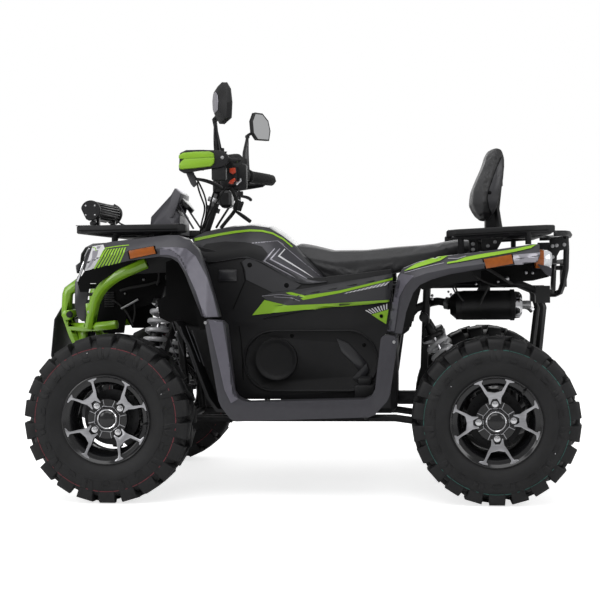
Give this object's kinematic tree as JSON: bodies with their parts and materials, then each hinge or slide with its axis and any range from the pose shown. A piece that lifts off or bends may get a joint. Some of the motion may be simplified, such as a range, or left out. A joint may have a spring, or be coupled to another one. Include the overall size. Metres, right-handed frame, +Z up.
{
  "type": "two-up utility quad bike",
  "caption": "Two-up utility quad bike with lime tube bumper, moulded front and rear racks, passenger backrest, hand guards, broad grey fender flares and knobbly off-road tyres.",
  "frame": {"origin": "on the ground, midway between the axles and on the centre plane", "axes": "+X from the nose to the tail, +Y to the vehicle's right-hand side, +Z up; the near side in the picture is -Y"},
  "size_m": [1.8857, 1.06, 1.3804],
  "materials": {
    "tyre": "matte",
    "rim": "satin",
    "green": "gloss",
    "green_plastic": "gloss",
    "grey_plastic": "satin",
    "black_plastic": "matte",
    "black_gloss": "gloss",
    "black_steel": "satin",
    "vinyl": "satin",
    "lamp": "gloss",
    "spring": "satin",
    "cast": "satin",
    "skid": "satin"
  },
  "bodies": {
    "steering": {"handlebar": "black_steel", "hand_guard_left": "green_plastic", "hand_guard_right": "green_plastic", "mirror_left": "black_gloss", "mirror_right": "black_gloss"},
    "knuckle_left": {"knuckle_left": "black_steel"},
    "tie_rod_left": {"tie_rod_left": "black_steel"},
    "wheel_front_left": {"tyre_front_left": "tyre", "rim_front_left": "rim"},
    "wheel_rear_left": {"tyre_rear_left": "tyre", "rim_rear_left": "rim"},
    "knuckle_right": {"knuckle_right": "black_steel"},
    "tie_rod_right": {"tie_rod_right": "black_steel"},
    "wheel_front_right": {"tyre_front_right": "tyre", "rim_front_right": "rim"},
    "wheel_rear_right": {"tyre_rear_right": "tyre", "rim_rear_right": "rim"},
    "chassis": {"backrest": "vinyl", "bash_plate": "skid", "body_cover": "black_gloss", "dash_cowl": "grey_plastic", "engine_block": "cast", "footwell_left": "grey_plastic", "footwell_right": "grey_plastic", "frame": "black_steel", "front_arms_left": "black_steel", "front_arms_right": "black_steel", "front_bumper": "green", "front_fender": "grey_plastic", "front_rack": "black_plastic", "front_shock_left": "spring", "front_shock_right": "spring", "grille_panel": "grey_plastic", "headlight_left": "lamp", "headlight_right": "lamp", "light_bar": "black_steel", "muffler": "black_steel", "rear_fender": "grey_plastic", "rear_gearcase": "cast", "rear_guard": "black_steel", "rear_rack": "black_plastic", "rear_shock_left": "spring", "rear_shock_right": "spring", "rear_suspension_left": "black_steel", "rear_suspension_right": "black_steel", "seat": "vinyl", "side_panel_left": "black_plastic", "side_panel_right": "black_plastic", "tail_light_left": "lamp", "tail_light_right": "lamp"}
  },
  "joints": [
    {"name": "steering", "type": "hinge", "parent": "chassis", "child": "steering", "pos_m": [-0.338, 0, 1.085], "axis": [0.342, 0, 0.9397], "range_deg": [-35, 35]},
    {"name": "knuckle_left", "type": "hinge", "parent": "chassis", "child": "knuckle_left", "pos_m": [-0.64, -0.37, 0.281], "axis": [0, 0, 1], "range_deg": [-30, 30]},
    {"name": "tie_rod_left", "type": "hinge", "parent": "knuckle_left", "child": "tie_rod_left", "pos_m": [-0.525, -0.335, 0.325], "axis": [0, 0, 1], "range_deg": [-30, 30]},
    {"name": "wheel_front_left", "type": "hinge", "parent": "knuckle_left", "child": "wheel_front_left", "pos_m": [-0.64, -0.44, 0.281], "axis": [0, 1, 0], "continuous": true},
    {"name": "wheel_rear_left", "type": "hinge", "parent": "chassis", "child": "wheel_rear_left", "pos_m": [0.64, -0.4, 0.273], "axis": [0, 1, 0], "continuous": true},
    {"name": "knuckle_right", "type": "hinge", "parent": "chassis", "child": "knuckle_right", "pos_m": [-0.64, 0.37, 0.281], "axis": [0, 0, 1], "range_deg": [-30, 30]},
    {"name": "tie_rod_right", "type": "hinge", "parent": "knuckle_right", "child": "tie_rod_right", "pos_m": [-0.525, 0.335, 0.325], "axis": [0, 0, 1], "range_deg": [-30, 30]},
    {"name": "wheel_front_right", "type": "hinge", "parent": "knuckle_right", "child": "wheel_front_right", "pos_m": [-0.64, 0.44, 0.281], "axis": [0, 1, 0], "continuous": true},
    {"name": "wheel_rear_right", "type": "hinge", "parent": "chassis", "child": "wheel_rear_right", "pos_m": [0.64, 0.4, 0.273], "axis": [0, 1, 0], "continuous": true}
  ],
  "couplings": [
    {"joint": "knuckle_left", "follows": "steering", "ratio": 0.85},
    {"joint": "tie_rod_left", "follows": "steering", "ratio": -0.85},
    {"joint": "knuckle_right", "follows": "steering", "ratio": 0.85},
    {"joint": "tie_rod_right", "follows": "steering", "ratio": -0.85}
  ]
}
